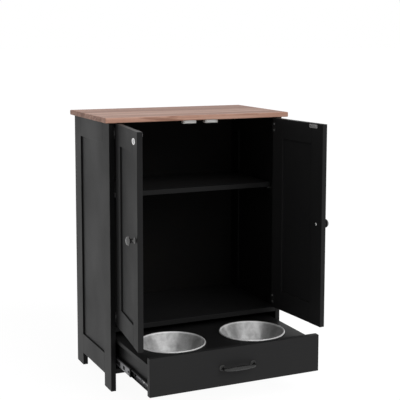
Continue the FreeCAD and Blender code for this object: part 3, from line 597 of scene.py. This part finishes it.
def crossed(profile, steps, wide, narrow, floor):
    """A turned head of radius 1 on z = 0, with a cross recess down to the floor."""
    blades = []
    for turn in (0, 1):
        outline = block(-wide, wide, -narrow, narrow)
        low = [(x * RECESS_FLOOR_LONG_SHARE, y * RECESS_FLOOR_WIDE_SHARE, floor) for x, y in outline]
        high = [(x, y, RECESS_MOUTH_SHARE) for x, y in outline]
        sides = [(i, (i + 1) % 4, 4 + (i + 1) % 4, 4 + i) for i in range(4)]
        blade = (low + high, [(3, 2, 1, 0), (4, 5, 6, 7)] + sides)
        blades.append(moved(blade, Matrix.Rotation(turn * math.pi / 2, 4, "Z")))
    return shape_of(carved(lathe(profile, steps), *blades))


PAN_HEAD = crossed(PAN_SHARES, HEAD_STEPS, wide=0.56, narrow=0.12, floor=0.12)
FLUSH_HEAD = crossed(FLUSH_SHARES, HEAD_STEPS, wide=0.5, narrow=0.11, floor=-0.1)
CAM_FACE = crossed(CAM_SHARES, CAM_STEPS, wide=0.52, narrow=0.13, floor=-0.07)


def fixings(name, body, material, head, places, radius, stands_for=()):
    """Heads of one kind on one body, each turned on from the last; a place is (where, which way it faces)."""
    heads = [
        moved(head, facing(way, at, radius) @ Matrix.Rotation(HEAD_TURN * i, 4, "Z"))
        for i, (at, way) in enumerate(places)
    ]
    piece(name, joined(*heads), material, body, degrees=28, stands_for=stands_for)


# Solids that show as they are; the pieces made below replace the others

dress(walnut_film, "top_board")
# The sides and legs take the darker copy of the black paint, painted shade; the doors and the drawer front
# take lighter copies, painted light.
dress(painted_shade_side_paint_up, *both("front_leg", "back_leg", "side_panel"))
dress(painted_shade_side_paint_deep, *both("bottom_rail", "top_rail"))
dress(painted_light_door_paint_up, *both("hinge_stile", "lock_stile", "door_panel"))
dress(painted_light_door_paint_along, *both("door_top_rail", "door_bottom_rail"))
dress(painted_light_front_paint, "drawer_front")
dress(board_paint, "cupboard_floor", "base_board", "shelf", "drawer_back", "bowl_board")
dress(drawer_side_paint, *both("drawer_side"))
dress(fibreboard, "back_panel")
dress(white_moulded, "magnetic_catches")
dress(glide_moulded, "foot_glides")
# The hinge in two tones of one metal: near black here, painted shade, and grey on the door leaves, painted
# light.
dress(hinge_black_painted_shade, "hinge_leaves", "hinge_pins")
dress(grey_painted_light_and_shade, *both("door_hinge_leaves"))
dress(nickel, "cam_locks", "cam_bolts", "shelf_pins")


# Doors

CASE_INSIDE = 265 * MM
DOOR_GAP = 2 * MM
DOOR_WIDE = 260 * MM
DOOR_THICK = 15 * MM
DOOR_LOW, DOOR_HIGH = (corner.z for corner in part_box("left_lock_stile"))
STILE_WIDE = 55 * MM
PIN_AHEAD = 2.4 * MM
KNOB_ALONG = DOOR_WIDE - STILE_WIDE / 2
KNOB_UP = 499 * MM
KNOB_SCREW_HEAD = 4.5 * MM
BADGE_HALF_LONG = 15 * MM
BADGE_HALF_TALL = 9 * MM
BADGE_FROM_EDGE = 36 * MM
BADGE_FROM_TOP = 28 * MM
HINGE_END_GAP = 28 * MM
HINGE_HEIGHTS = (DOOR_LOW + HINGE_END_GAP, DOOR_HIGH - HINGE_END_GAP)
LEAF_THICK = 0.9 * MM
LEAF_SCREW_ALONG = 8 * MM
LEAF_SCREW_APART = 9.5 * MM
LEAF_SCREW_HEAD = 3.2 * MM
CATCH_MIDDLES = (-21.5 * MM, 49 * MM)
STRIKE_HALF_LONG = 20 * MM
STRIKE_HALF_TALL = 6 * MM
STRIKE_ROUND = 4 * MM
STRIKE_THICK = 1.2 * MM
STRIKE_BODY_THICK = 0.9 * MM
STRIKE_FACE_INSET = 0.4 * MM
STRIKE_LAP = 0.1 * MM
STRIKE_EDGE_GAP = 2 * MM
STRIKE_UP = DOOR_HIGH - STRIKE_EDGE_GAP - STRIKE_HALF_TALL
STRIKE_ALONG = {
    "left": DOOR_WIDE - STRIKE_EDGE_GAP - STRIKE_HALF_LONG,
    "right": CASE_INSIDE - DOOR_GAP - CATCH_MIDDLES[1],
}
STRIKE_SCREW_ASIDE = 12 * MM
STRIKE_SCREW_HEAD = 3 * MM


def on_door(side):
    """From a shut door to the open one: x from its hinge edge, y from its front face, z from the floor."""
    joint = JOINTS[side + "_door_hinge"]
    pin = Vector(joint["pos_m"])
    opened = math.radians(joint["range_deg"][1])
    corner = Matrix.Translation((DOOR_GAP / 2, PIN_AHEAD, -pin.z))
    if side == "left":
        return Matrix.Translation(pin) @ Matrix.Rotation(-opened, 4, "Z") @ corner
    flipped = Matrix.Scale(-1, 4, RIGHT)
    return Matrix.Translation(pin) @ Matrix.Rotation(opened, 4, "Z") @ flipped @ corner


def knob(side):
    """A turned mushroom knob with a stepped foot, a waisted neck, a beaded brim and a low dome.

    Its outline is in millimetres."""
    dome_radius, dome_up, dome_share = 11.8, 19.7, 0.525
    foot = [(0, 0), (8.3, 0), (8.5, 0.5), (8.3, 1.3), (7.2, 1.7), (6.9, 2.4)]
    neck = [(6.0, 3.2), (5.5, 5.0), (5.3, 8.0), (5.5, 10.8), (6.5, 13.2)]
    brim = [(8.6, 15.0), (11.0, 16.1), (12.0, 16.7)] + arc((11.7, 18.2), 1.2, -60, 60, 6)
    brim.append((dome_radius, 19.6))
    dome = [(across, dome_up + dome_share * rise) for across, rise in arc((0, 0), dome_radius, 6, 90, 12)]
    profile = foot + neck + brim + dome
    shape = lathe([(radius * MM, height * MM) for radius, height in profile], 56)
    shape = moved(shape, facing(FRONT, (KNOB_ALONG, 0, KNOB_UP)))
    # The knob in the lighter copy of the black nickel, painted light.
    piece(side + "_turned_knob", moved(shape, on_door(side)), knob_nickel_painted_light, side + "_door",
          degrees=40, stands_for=[side + "_knob"])


def strike(side):
    """The plate that the catch holds: a pale pressed face in steel toned down to its look in shade, painted
    shade, on a darker grey body that shows round it, painted shade.
    """
    at = on_door(side) @ facing(BACK, (STRIKE_ALONG[side], DOOR_THICK, STRIKE_UP))

    def layer(name, inset, low, high, material, stands_for=()):
        long, tall = STRIKE_HALF_LONG - inset, STRIKE_HALF_TALL - inset
        outline = rounded(block(-long, long, -tall, tall), STRIKE_ROUND - inset, 6)
        piece(side + name, moved(prism(outline, low, high), at), material, side + "_door",
              stands_for=stands_for)

    # The darker grey body that shows round the strike's face is painted shade.
    layer("_strike_body_painted_shade", 0, 0, STRIKE_BODY_THICK, grey_painted_light_and_shade, [side + "_strike_plate"])
    layer("_strike_face", STRIKE_FACE_INSET, STRIKE_BODY_THICK - STRIKE_LAP, STRIKE_THICK, strike_steel_painted_shade)


def door_fixings(side):
    """Screws on the inner face: the knob's, the strike plate's and those of the two hinge leaves."""
    body = side + "_door"
    turn = on_door(side)
    way = turn.to_3x3()

    def on_face(places):
        return [(turn @ Vector(at), way @ Vector(towards)) for at, towards in places]

    fixings(side + "_knob_screw_head", body, nickel, PAN_HEAD,
            on_face([((KNOB_ALONG, DOOR_THICK, KNOB_UP), BACK)]), KNOB_SCREW_HEAD, [side + "_knob_screw"])
    inner = DOOR_THICK + STRIKE_THICK
    along = STRIKE_ALONG[side]
    pair = [((along + aside, inner, STRIKE_UP), BACK) for aside in (-STRIKE_SCREW_ASIDE, STRIKE_SCREW_ASIDE)]
    fixings(side + "_strike_screws", body, nickel, FLUSH_HEAD, on_face(pair),
            STRIKE_SCREW_HEAD)
    leaf = [
        ((LEAF_SCREW_ALONG, DOOR_THICK + LEAF_THICK, up + apart), BACK)
        for up in HINGE_HEIGHTS for apart in (-LEAF_SCREW_APART, LEAF_SCREW_APART)
    ]
    # The leaf screws in the darker copy of the screw steel, painted shade.
    fixings(side + "_leaf_screws", body, leaf_screw_steel_painted_shade, PAN_HEAD, on_face(leaf),
            LEAF_SCREW_HEAD)


def badge():
    """A plain oval badge plate: a bright rolled rim round a brushed blank middle."""
    foot, swell_wide, swell_high = 0.8 * MM, 1.2 * MM, 1.0 * MM
    angles = [math.radians(degrees) for degrees in range(20, 161, 20)]
    rim = [(0, 0), (0, foot)]
    rim += [(swell_wide - swell_wide * math.cos(t), foot + swell_high * math.sin(t)) for t in angles]
    rim += [(2 * swell_wide, 0.9 * MM)]
    middle = [(2.2 * MM, 0.4 * MM), (2.2 * MM, 0.95 * MM), (3.4 * MM, 1.15 * MM), (6.0 * MM, 1.3 * MM)]
    at = on_door("left") @ facing(FRONT, (DOOR_WIDE - BADGE_FROM_EDGE, 0, DOOR_HIGH - BADGE_FROM_TOP))
    for name, profile, material, stands_for in (
        ("badge_rim", rim, badge_bright, ["badge_plate"]),
        ("badge_middle", middle, badge_brushed, ()),
    ):
        shape = moved(oval(profile, BADGE_HALF_LONG, BADGE_HALF_TALL), at)
        piece(name, shape, material, "left_door", degrees=40, stands_for=stands_for)


for side in ("left", "right"):
    knob(side)
    strike(side)
    door_fixings(side)
badge()


# Case fittings

CASE_LEAF_SCREW_BACK = -8.4 * MM
CASE_LEAF_SCREW_HEAD = 2.6 * MM
LEG_ROWS = (15 * MM, 281 * MM)
CAM_RADIUS = 7.5 * MM
CAM_INSET = 24 * MM
BACK_SCREW_INSET = 9 * MM
BACK_SCREW_COLUMNS = 5
BACK_SCREW_ROWS = 6
BACK_SCREW_HEAD = 3 * MM


def evenly(low, high, inset, count):
    """Places from near one end to near the other."""
    return [low + inset + i / (count - 1) * (high - low - 2 * inset) for i in range(count)]


def case_fixings():
    """Leaf screws, cam faces in the boards and legs, and the small screws round the back panel."""
    leaf = [
        ((side * (CASE_INSIDE - LEAF_THICK), CASE_LEAF_SCREW_BACK, up + apart), (-side, 0, 0))
        for side in (-1, 1) for up in HINGE_HEIGHTS for apart in (-LEAF_SCREW_APART, LEAF_SCREW_APART)
    ]
    fixings("case_leaf_screws", "case", nickel, FLUSH_HEAD, leaf, CASE_LEAF_SCREW_HEAD)
    leg_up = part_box("top_board")[0].z - CAM_INSET
    cams = [((side * CASE_INSIDE, row, leg_up), (-side, 0, 0)) for side in (-1, 1) for row in LEG_ROWS]
    cams += [
        ((side * (CASE_INSIDE - CAM_INSET), row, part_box(board)[0].z), DOWN)
        for side in (-1, 1) for row in LEG_ROWS for board in ("base_board", "cupboard_floor")
    ]
    fixings("cam_faces", "case", nickel, CAM_FACE, cams, CAM_RADIUS)
    low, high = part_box("back_panel")
    columns = evenly(low.x, high.x, BACK_SCREW_INSET, BACK_SCREW_COLUMNS)
    rows = evenly(low.z, high.z, BACK_SCREW_INSET, BACK_SCREW_ROWS)
    across = [(x, z) for x in columns for z in (rows[0], rows[-1])]
    upright = [(x, z) for x in (columns[0], columns[-1]) for z in rows[1:-1]]
    fixings("back_screws", "case", nickel, PAN_HEAD,
            [((x, high.y, z), BACK) for x, z in across + upright], BACK_SCREW_HEAD)


POLE_HALF_LONG = 15 * MM
POLE_HALF_TALL = 0.7 * MM
POLE_ROUND = 0.4 * MM
POLE_SUNK, POLE_PROUD = 1.0 * MM, 0.2 * MM
POLE_HEIGHTS = (3.6 * MM, 7.4 * MM)
CATCH_SCREW_ASIDE = 16.5 * MM
CATCH_SCREW_BACK = 7 * MM
CATCH_SCREW_HEAD = 3.2 * MM


def catch_fittings():
    """The two steel pole strips in the face of each magnetic catch, and its two screws."""
    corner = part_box("magnetic_catches")[0]
    outline = block(-POLE_HALF_LONG, POLE_HALF_LONG, -POLE_HALF_TALL, POLE_HALF_TALL)
    pole = prism(rounded(outline, POLE_ROUND, 3), -POLE_SUNK, POLE_PROUD)
    poles = [
        moved(pole, facing(FRONT, (middle, corner.y, corner.z + up)))
        for middle in CATCH_MIDDLES for up in POLE_HEIGHTS
    ]
    piece("catch_poles", joined(*poles), nickel, "case")
    places = [
        ((middle + aside, corner.y + CATCH_SCREW_BACK, corner.z), DOWN)
        for middle in CATCH_MIDDLES for aside in (-CATCH_SCREW_ASIDE, CATCH_SCREW_ASIDE)
    ]
    fixings("catch_screws", "case", nickel, FLUSH_HEAD, places, CATCH_SCREW_HEAD)


case_fixings()
catch_fittings()


# Drawer slides

STEEL = 1.2 * MM
BEND = 2.2 * MM
LIP_LAP = 0.6 * MM
LIP_CURL = ((1.2 * MM, 0), (0.4 * MM, 0.35 * MM), (0.1 * MM, 1.1 * MM))
WINDOW_ROUND = 2.2 * MM
CUT_REACH = 3 * MM
SCREW_WINDOW = (5, 5)
RAIL_WINDOWS = ((40, *SCREW_WINDOW), (150, *SCREW_WINDOW), (250, *SCREW_WINDOW))
STAGE_WINDOWS = ((14, 10, 7), (50, 16, 11), (102, 40, 13), (165, 16, 11))
RUNNER_WINDOWS = ((70, *SCREW_WINDOW), (210, *SCREW_WINDOW))
STOP_OUT, STOP_IN = 0.8 * MM, 1.8 * MM
STOP_HALF_TALL = 11.4 * MM
STOP_AHEAD, STOP_BEHIND = 0.8 * MM, 6 * MM
STOP_ROUND = 0.5 * MM
KEEPER_OUT, KEEPER_IN = 0.7 * MM, 1.4 * MM
KEEPER_HALF_TALL = 8 * MM
KEEPER_START, KEEPER_END = 2 * MM, 180 * MM
KEEPER_ROUND = 0.3 * MM
TAB_START, TAB_LONG = 112 * MM, 18 * MM
TAB_HALF_ROOT = 4 * MM
TAB_TIP_LOW, TAB_TIP_HIGH = 7 * MM, 3 * MM
TAB_SUNK, TAB_PROUD = 0.3 * MM, 3 * MM
TAB_ROUND = 1.5 * MM
RUNNER_SCREWS = (18 * MM, 46 * MM, 160 * MM)
RUNNER_SCREW_HEAD = 3.4 * MM
ALONG_Y = Matrix(((1, 0, 0, 0), (0, 0, 1, 0), (0, 1, 0, 0), (0, 0, 0, 1)))
ALONG_X = Matrix(((0, 0, 1, 0), (1, 0, 0, 0), (0, 1, 0, 0), (0, 0, 0, 1)))


def strip(node, body, lips_right, windows):
    """A rolled steel slide member: a web, and two lips with curled edges; the web's steel is toned down,
    painted shade, and the lips are near black, painted shade.

    Each window in the web is its middle's distance behind the front end, its length and its height,
    in millimetres. What comes back is where the front end, the web and the mid-height are."""
    low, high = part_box(node)
    towards = 1 if lips_right else -1
    back, tip = (low.x, high.x) if lips_right else (high.x, low.x)
    web = back + towards * STEEL / 2
    half = (high.z - low.z) / 2 - STEEL / 2
    middle = (high.z + low.z) / 2
    flat = half - BEND
    corner = arc((BEND, flat), BEND, 180, 90, 8)
    reach = abs(tip - web)
    curl = [(reach - short, half - down) for short, down in LIP_CURL]
    lip_line = [(towards * x + web, z) for x, z in [(0, flat - LIP_LAP)] + corner + curl]
    lips = []
    for up in (1, -1):
        outline = ribbon([(x, middle + up * z) for x, z in lip_line], STEEL)
        lips.append(moved(prism(outline, low.y, high.y), ALONG_Y))
    face = block(web - STEEL / 2, web + STEEL / 2, middle - flat, middle + flat)
    sheet = moved(prism(face, low.y, high.y), ALONG_Y)
    tools = []
    for behind, long, tall in windows:
        y, half_long, half_tall = low.y + behind * MM, long * MM / 2, tall * MM / 2
        outline = rounded(
            block(y - half_long, y + half_long, middle - half_tall, middle + half_tall), WINDOW_ROUND, 5)
        tools.append(moved(prism(outline, web - CUT_REACH, web + CUT_REACH), ALONG_X))
    piece(node + "_web", carved(sheet, *tools), slide_zinc_painted_shade, body, stands_for=[node])
    # The lips in the near black copy of the slide steel, painted shade.
    piece(node + "_lips", joined(*lips), lip_steel_painted_shade, body, degrees=50)
    return low.y, web, middle


def slide(side):
    """The three members of one slide, the middle one's stop, a black ball keeper strip behind its windows
    that paints the shade seen through them, a release tab and screws.
    """
    outer = side == "left"
    out = -1 if outer else 1
    strip(side + "_slide_rail", "case", outer, RAIL_WINDOWS)
    stage = side + "_slide_stage"
    front, web, middle = strip(side + "_slide_middle", stage, outer, STAGE_WINDOWS)
    edges = sorted((web + out * STOP_OUT, web - out * STOP_IN))
    stop = rounded(block(*edges, middle - STOP_HALF_TALL, middle + STOP_HALF_TALL), STOP_ROUND, 4)
    piece(side + "_slide_stop", moved(prism(stop, front - STOP_AHEAD, front + STOP_BEHIND), ALONG_Y),
          black_moulded, stage)
    # The ball keeper: a black strip behind the middle member's windows, a dark sheet that paints the shade
    # seen through them.
    edges = sorted((web - out * KEEPER_OUT, web - out * KEEPER_IN))
    keeper = rounded(block(*edges, middle - KEEPER_HALF_TALL, middle + KEEPER_HALF_TALL), KEEPER_ROUND, 3)
    piece(side + "_ball_keeper_painted_shade", moved(prism(keeper, front + KEEPER_START, front + KEEPER_END), ALONG_Y),
          black_moulded, stage)
    front, web, middle = strip(side + "_slide_runner", "drawer", not outer, RUNNER_WINDOWS)
    face = web + out * STEEL / 2
    root = front + TAB_START
    tip = root + TAB_LONG
    tab = rounded([(root, middle - TAB_HALF_ROOT), (tip, middle - TAB_TIP_LOW),
                   (tip, middle + TAB_TIP_HIGH), (root, middle + TAB_HALF_ROOT)], TAB_ROUND, 4)
    ends = sorted((face - out * TAB_SUNK, face + out * TAB_PROUD))
    piece(side + "_release_tab", moved(prism(tab, *ends), ALONG_X), black_moulded, "drawer")
    fixings(side + "_runner_screws", "drawer", nickel, PAN_HEAD,
            [((face, front + behind, middle), (out, 0, 0)) for behind in RUNNER_SCREWS], RUNNER_SCREW_HEAD)


slide("left")
slide("right")


# Handle

FOOT_ASIDE = 48 * MM
ARM = 12 * MM
HANDLE_BEND = 11.5 * MM
HANDLE_SUNK = 1 * MM
HANDLE_BAR_STEPS = 12
THIN, THICK = 3.9 * MM, 6.2 * MM
SWELL_SHARE = 1.35
HANDLE_SCREW_HEAD = 4.5 * MM


def handle():
    """A cast bow handle: a bar that swells in the middle, curving back to two stepped round feet.

    The outline of a foot is in millimetres."""
    low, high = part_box("drawer_handle")
    face, up = high.y, (low.z + high.z) / 2
    straight = FOOT_ASIDE - HANDLE_BEND
    half = [(-FOOT_ASIDE, -HANDLE_SUNK), (-FOOT_ASIDE, ARM / 2)]
    half += arc((-straight, ARM), HANDLE_BEND, 180, 90, 10)
    half += [
        (-straight + straight * i / HANDLE_BAR_STEPS, ARM + HANDLE_BEND)
        for i in range(1, HANDLE_BAR_STEPS + 1)
    ]
    path = half + [(-x, y) for x, y in half[-2::-1]]
    radii = []
    for x, _ in path:
        share = max(0.0, 1 - abs(x) / FOOT_ASIDE)
        swell = share * share * (3 - 2 * share)
        radii.append(THIN + (THICK - THIN) * min(1.0, SWELL_SHARE * swell))
    bow = tube([(x, face - y, up) for x, y in path], radii)
    disc = [(0, 0), (8.6, 0), (9.0, 0.5), (9.0, 1.3), (8.4, 2.0), (7.4, 2.1)]
    neck = [(7.0, 2.5), (6.0, 3.3), (5.0, 4.8), (4.2, 7.0), (3.6, 7.6), (0, 7.6)]
    foot = lathe([(radius * MM, height * MM) for radius, height in disc + neck], 48)
    feet = [moved(foot, facing(FRONT, (side * FOOT_ASIDE, face, up))) for side in (-1, 1)]
    # The handle in the darker copy of the black nickel, painted shade.
    piece("bow_handle", joined(bow, *feet), handle_nickel_painted_shade, "drawer", degrees=45,
          stands_for=["drawer_handle"])
    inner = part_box("drawer_front")[1].y
    fixings("handle_screw_heads", "drawer", nickel, PAN_HEAD,
            [((side * FOOT_ASIDE, inner, up), BACK) for side in (-1, 1)], HANDLE_SCREW_HEAD,
            ["handle_screws"])


handle()


# Bowls

BOWL_SHEET = 0.8 * MM
BOWL_FOOT = 58 * MM
BOWL_CORNER = 15 * MM
BOWL_SLOPE = 73
BOWL_WALL_STEPS = 8
BOWL_TURN_STEPS = 144
RIM_BEAD = 2.1 * MM
WALL_TOP = (1.6 * MM, 3.2 * MM)
ROLL_START = (0.9 * MM, 1.2 * MM)


def bowl(side, body):
    """A spun steel bowl with a raised base ring, a rounded corner, a flared wall and a rolled rim."""
    low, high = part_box(side + "_bowl")
    edge = RIM_BEAD + BOWL_SHEET / 2
    rim_out, rim_up = (high.x - low.x) / 2 - edge, high.z - low.z - edge
    base = BOWL_SHEET / 2
    line = [(0, 1.9 * MM), (40 * MM, 1.9 * MM), (44 * MM, 1.7 * MM), (46 * MM, 0.9 * MM), (48 * MM, base),
            (BOWL_FOOT, base)]
    line += arc((BOWL_FOOT, BOWL_CORNER + base), BOWL_CORNER, -90, BOWL_SLOPE - 90, 14)[1:]
    start = Vector(line[-1])
    end = Vector((rim_out - RIM_BEAD - WALL_TOP[0], rim_up - WALL_TOP[1]))
    line += [tuple(start.lerp(end, i / BOWL_WALL_STEPS)) for i in range(1, BOWL_WALL_STEPS + 1)]
    line.append((rim_out - RIM_BEAD - ROLL_START[0], rim_up - ROLL_START[1]))
    roll = ribbon([line[-1]] + arc((rim_out, rim_up), RIM_BEAD, 172, -140, 18), BOWL_SHEET)
    skin = [(max(0.0, radius), height) for radius, height in ribbon(line, BOWL_SHEET)]
    place = ((low.x + high.x) / 2, (low.y + high.y) / 2, low.z)
    piece(side + "_spun_bowl", lathe(skin, BOWL_TURN_STEPS), bowl_steel, body, place,
          degrees=50, stands_for=[side + "_bowl"])
    # The rim in the paler copy of the bowl steel, painted highlight.
    piece(side + "_rolled_rim", lathe(roll + roll[:1], BOWL_TURN_STEPS), rim_steel_painted_highlight, body, place,
          degrees=50)


bowl("left", "left_feeding_bowl")
bowl("right", "right_feeding_bowl")


# Stage and light

FLOOR_HALF = 60
FLOOR_TONE = 0.8
FLOOR_WHITE = 1.10
FLOOR_PLAIN_SHARE = 0.86
WORLD_LIGHT = 0.40
WORLD_SEEN = 1.0
KEY_TOWARDS = (0.32, -0.80, 0.55)
KEY_STRENGTH = 0.62
KEY_SPREAD = 40


def make_floor():
    """A pale floor: white in the metal, and almost plain white for the camera, with a soft shadow."""
    corners = [(x, y, 0) for x, y in block(-FLOOR_HALF, FLOOR_HALF, -FLOOR_HALF, FLOOR_HALF)]
    mesh = to_mesh("floor", (corners, [(0, 1, 2, 3)]))
    s = Shader("floor")
    lit = s.node("BsdfDiffuse", {"Color": grey(FLOOR_TONE)}).outputs[0]
    plain = s.node("Emission", {"Color": grey(1.0), "Strength": FLOOR_WHITE}).outputs[0]
    ray = s.node("LightPath").outputs
    seen = s.math("MAXIMUM", ray["Is Glossy Ray"], ray["Is Transmission Ray"])
    seen = s.math("MAXIMUM", seen, s.math("MULTIPLY", ray["Is Camera Ray"], FLOOR_PLAIN_SHARE))
    mixed = s.node("MixShader", {0: seen, 1: lit, 2: plain}).outputs[0]
    s.node("OutputMaterial", {"Surface": mixed})
    mesh.materials.append(s.material)
    floor = bpy.data.objects.new("floor", mesh)
    scene.collection.objects.link(floor)


def make_world():
    """Even light from all round, which the camera and the metal see as white."""
    world = bpy.data.worlds.new("studio")
    world.use_nodes = True
    scene.world = world
    s = Shader("studio", world.node_tree)
    ray = s.node("LightPath").outputs
    seen = s.math("MAXIMUM", ray["Is Glossy Ray"], ray["Is Transmission Ray"])
    seen = s.math("MAXIMUM", seen, ray["Is Camera Ray"])
    tone = s.mix(seen, grey(WORLD_LIGHT), grey(WORLD_SEEN))
    s.node("OutputWorld", {"Surface": s.node("Background", {"Color": tone, "Strength": 1.0}).outputs[0]})


def sun(name, towards, strength, spread):
    """A broad lamp in the direction of towards, seen from the object."""
    data = bpy.data.lights.new(name, "SUN")
    data.energy = strength * math.pi
    data.angle = math.radians(spread)
    lamp = bpy.data.objects.new(name, data)
    lamp.rotation_euler = Vector(towards).to_track_quat("Z", "Y").to_euler()
    lamp.visible_glossy = False
    scene.collection.objects.link(lamp)


make_floor()
make_world()
sun("key", KEY_TOWARDS, KEY_STRENGTH, KEY_SPREAD)
make_camera()
scene.view_settings.view_transform = "Standard"
